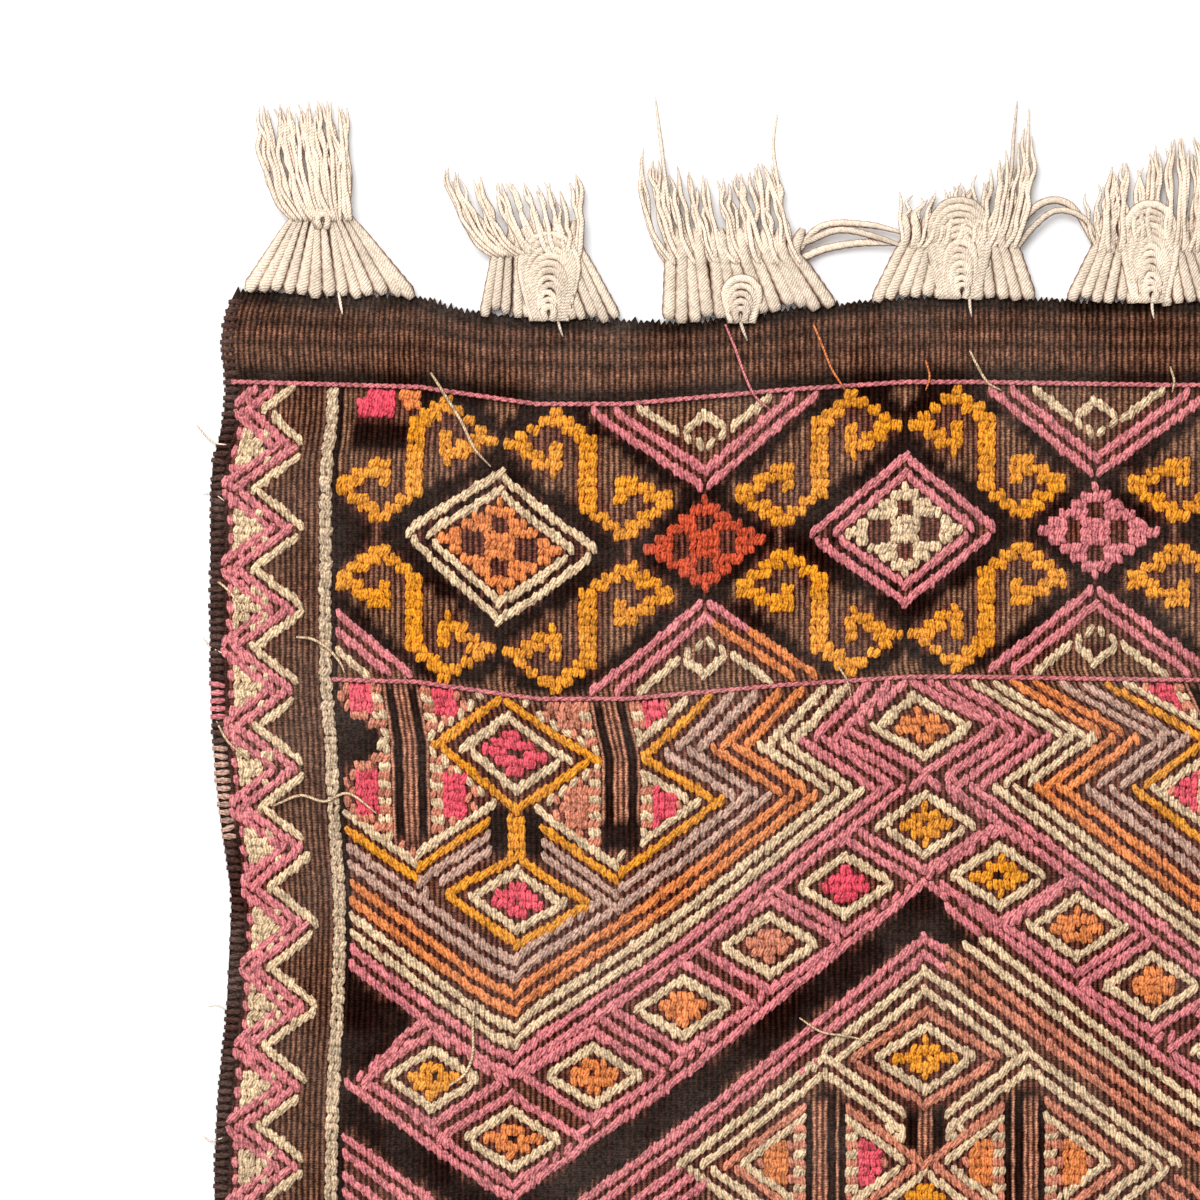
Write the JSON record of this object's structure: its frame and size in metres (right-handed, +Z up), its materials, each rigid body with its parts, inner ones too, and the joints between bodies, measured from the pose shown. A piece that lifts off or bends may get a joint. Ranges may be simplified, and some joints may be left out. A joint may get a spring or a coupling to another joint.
{
  "type": "rug",
  "caption": "Flat-woven kilim rug: a rectangular woollen floor cloth with a stepped-diamond border and zigzag field, and knotted warp tassels along both short ends",
  "frame": {"origin": "under the middle of the rug, on the floor", "axes": "+X across the rug, +Y along it towards the head end, +Z up from the floor"},
  "size_m": [0.7144, 1.0986, 0.0077],
  "materials": {
    "ground_wool": "matte flat-woven wool with raised brocade",
    "warp_wool": "matte undyed plied wool"
  },
  "bodies": {
    "root": {"woven_cloth": "ground_wool", "head_tassel_1": "warp_wool", "head_tassel_2": "warp_wool", "head_tassel_3": "warp_wool", "head_tassel_4": "warp_wool", "head_tassel_5": "warp_wool", "head_tassel_6": "warp_wool", "head_tassel_7": "warp_wool", "foot_tassel_1": "warp_wool", "foot_tassel_2": "warp_wool", "foot_tassel_3": "warp_wool", "foot_tassel_4": "warp_wool", "foot_tassel_5": "warp_wool", "foot_tassel_6": "warp_wool", "foot_tassel_7": "warp_wool"}
  },
  "joints": []
}
